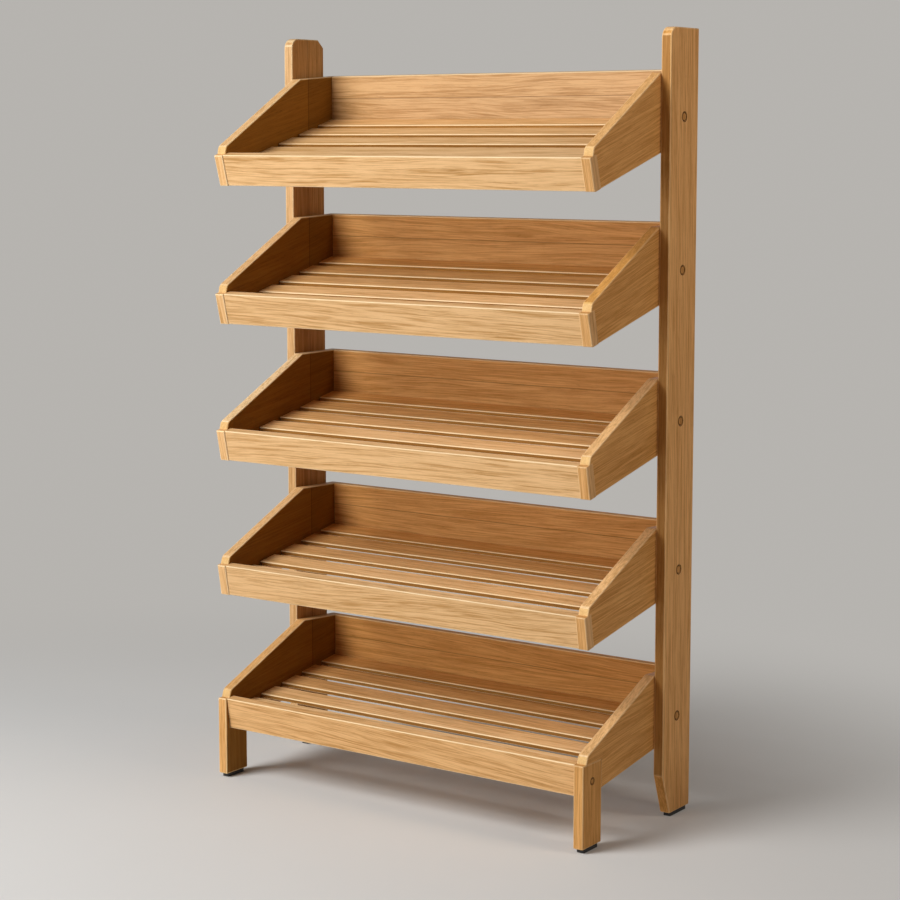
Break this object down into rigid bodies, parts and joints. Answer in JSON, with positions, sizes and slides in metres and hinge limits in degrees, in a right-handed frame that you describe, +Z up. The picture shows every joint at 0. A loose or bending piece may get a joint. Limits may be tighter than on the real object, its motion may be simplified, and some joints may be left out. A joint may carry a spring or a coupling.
{
  "type": "bakery display rack",
  "caption": "Free-standing oak bakery display rack: tilted slatted trays with sloping sides screwed between rear posts, short front legs under the lowest tray.",
  "frame": {"origin": "on the floor, midway between the posts and midway between the front of the legs and the upright rear of the trays", "axes": "+Z up, -Y towards the customer at the front of the trays, +X to the right seen from the front"},
  "size_m": [0.912, 0.383, 1.5],
  "materials": {
    "post_wood": "satin oiled",
    "leg_wood": "satin oiled",
    "side_wood": "satin oiled",
    "rail_wood": "satin oiled",
    "back_wood": "satin oiled",
    "slat_wood": "satin oiled",
    "block_wood": "satin oiled",
    "cleat_wood": "plain planed",
    "plug_wood": "satin oiled",
    "fixing_steel": "zinc plated",
    "pad_rubber": "matt"
  },
  "bodies": {
    "root": {"left_post": "post_wood", "front_left_leg": "leg_wood", "right_post": "post_wood", "front_right_leg": "leg_wood", "tray_1_left_side": "side_wood", "tray_1_right_side": "side_wood", "tray_1_front_rail": "rail_wood", "tray_1_back_board": "back_wood", "tray_1_slat_1": "slat_wood", "tray_1_slat_2": "slat_wood", "tray_1_slat_3": "slat_wood", "tray_1_slat_4": "slat_wood", "tray_1_slat_5": "slat_wood", "tray_2_left_side": "side_wood", "tray_2_right_side": "side_wood", "tray_2_front_rail": "rail_wood", "tray_2_back_board": "back_wood", "tray_2_slat_1": "slat_wood", "tray_2_slat_2": "slat_wood", "tray_2_slat_3": "slat_wood", "tray_2_slat_4": "slat_wood", "tray_2_slat_5": "slat_wood", "tray_3_left_side": "side_wood", "tray_3_right_side": "side_wood", "tray_3_front_rail": "rail_wood", "tray_3_back_board": "back_wood", "tray_3_slat_1": "slat_wood", "tray_3_slat_2": "slat_wood", "tray_3_slat_3": "slat_wood", "tray_3_slat_4": "slat_wood", "tray_3_slat_5": "slat_wood", "tray_4_left_side": "side_wood", "tray_4_right_side": "side_wood", "tray_4_front_rail": "rail_wood", "tray_4_back_board": "back_wood", "tray_4_slat_1": "slat_wood", "tray_4_slat_2": "slat_wood", "tray_4_slat_3": "slat_wood", "tray_4_slat_4": "slat_wood", "tray_4_slat_5": "slat_wood", "tray_5_left_side": "side_wood", "tray_5_right_side": "side_wood", "tray_5_front_rail": "rail_wood", "tray_5_back_board": "back_wood", "tray_5_slat_1": "slat_wood", "tray_5_slat_2": "slat_wood", "tray_5_slat_3": "slat_wood", "tray_5_slat_4": "slat_wood", "tray_5_slat_5": "slat_wood", "slat_cleats": "cleat_wood", "end_blocks": "block_wood", "post_plugs": "plug_wood", "leg_plugs": "plug_wood", "post_screws": "fixing_steel", "leg_screws": "fixing_steel", "foot_pads": "pad_rubber"}
  },
  "joints": []
}
